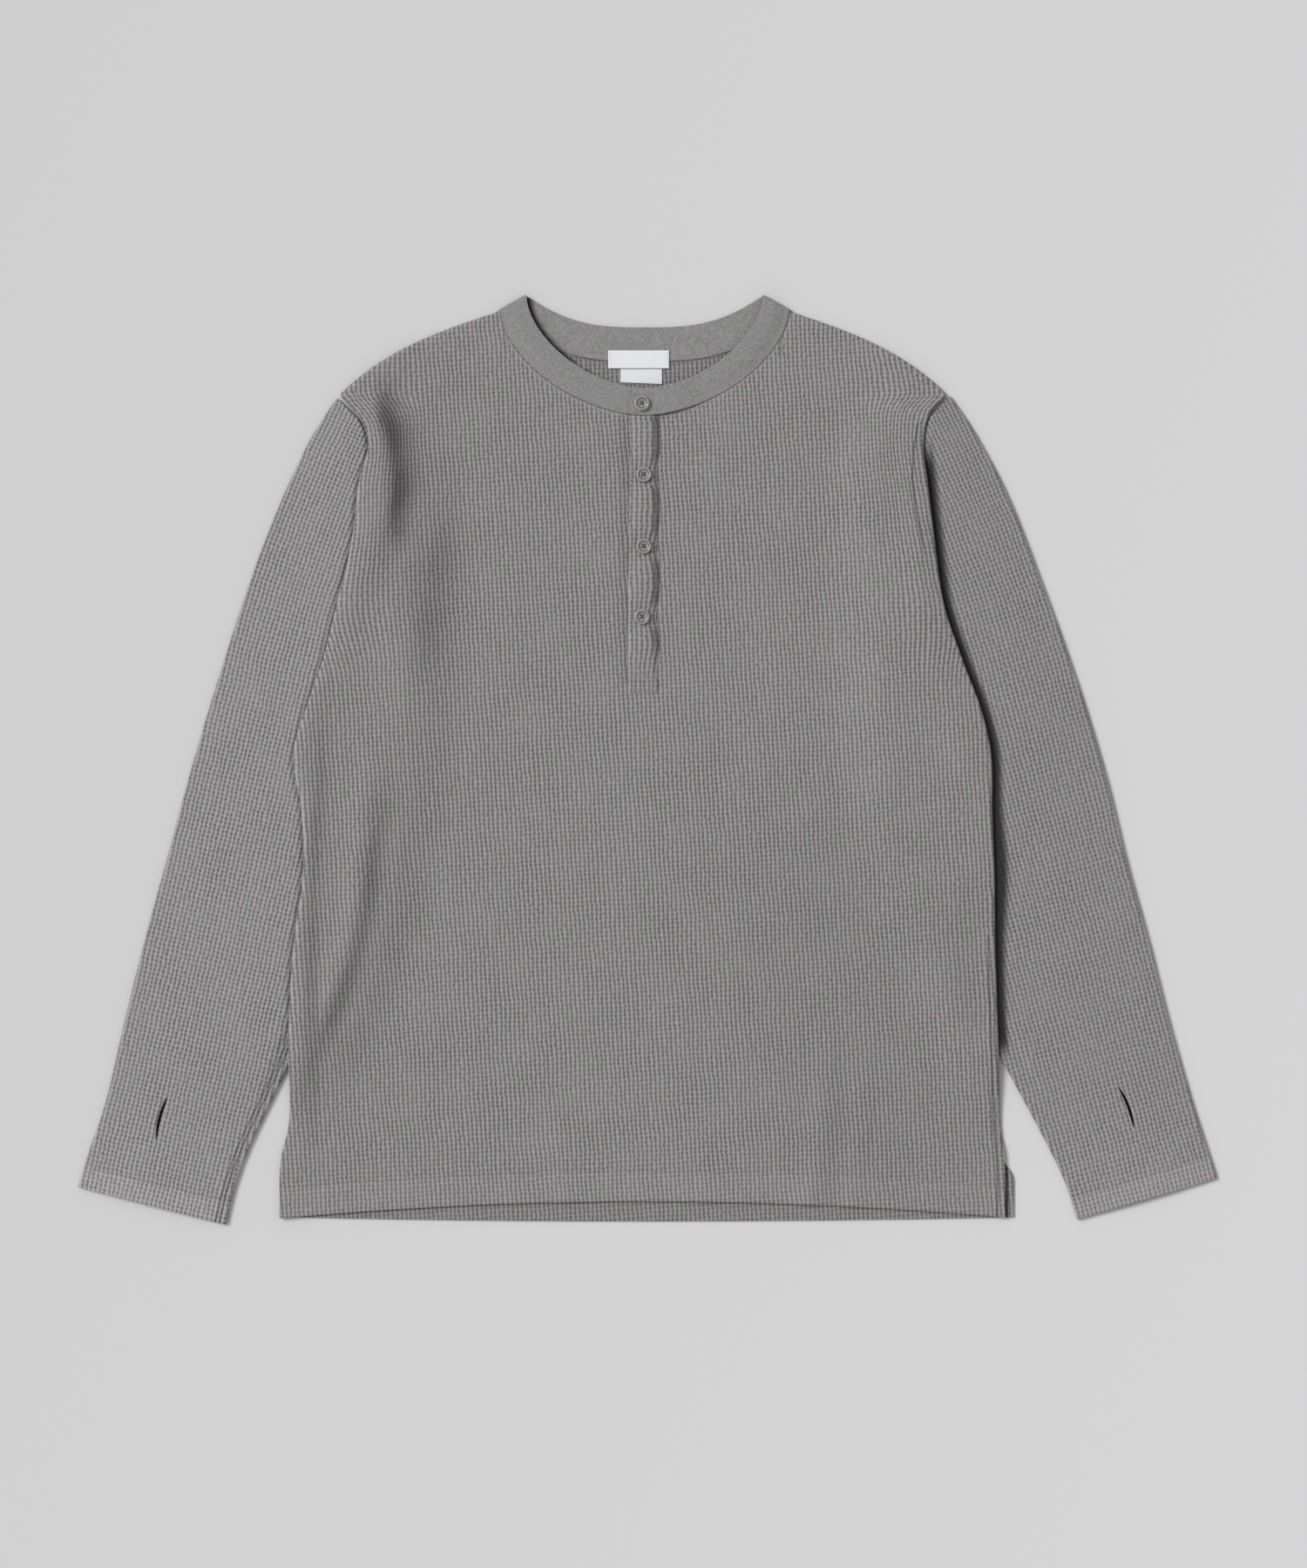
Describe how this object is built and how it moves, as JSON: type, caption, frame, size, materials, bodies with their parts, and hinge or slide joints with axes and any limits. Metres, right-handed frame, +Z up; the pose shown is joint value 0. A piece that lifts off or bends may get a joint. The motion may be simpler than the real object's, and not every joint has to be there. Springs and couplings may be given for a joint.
{
  "type": "thermal top",
  "caption": "Long-sleeved henley thermal top in grey waffle knit, laid flat: rib neckband, buttoned placket, thumb slits in the cuffs and short side vents",
  "frame": {"origin": "middle of the resting face's box, on the surface the garment lies on", "axes": "+X towards the wearer's left, +Y from hem to neck, +Z up, out of the garment's front"},
  "size_m": [0.849, 0.6949, 0.0104],
  "materials": {
    "waffle_knit": "matt mid-grey melange cotton waffle knit",
    "neckband_rib": "matt mid-grey melange fine rib",
    "button_resin": "dark grey-brown resin, soft gloss",
    "label_tape": "plain white woven tape"
  },
  "bodies": {
    "root": {"back": "waffle_knit", "front": "waffle_knit", "sleeve_right": "waffle_knit", "sleeve_left": "waffle_knit", "placket_under": "waffle_knit", "placket_upper": "waffle_knit", "neckband": "neckband_rib", "button_1": "button_resin", "button_2": "button_resin", "button_3": "button_resin", "button_4": "button_resin", "label_main": "label_tape", "label_care": "label_tape"}
  },
  "joints": []
}
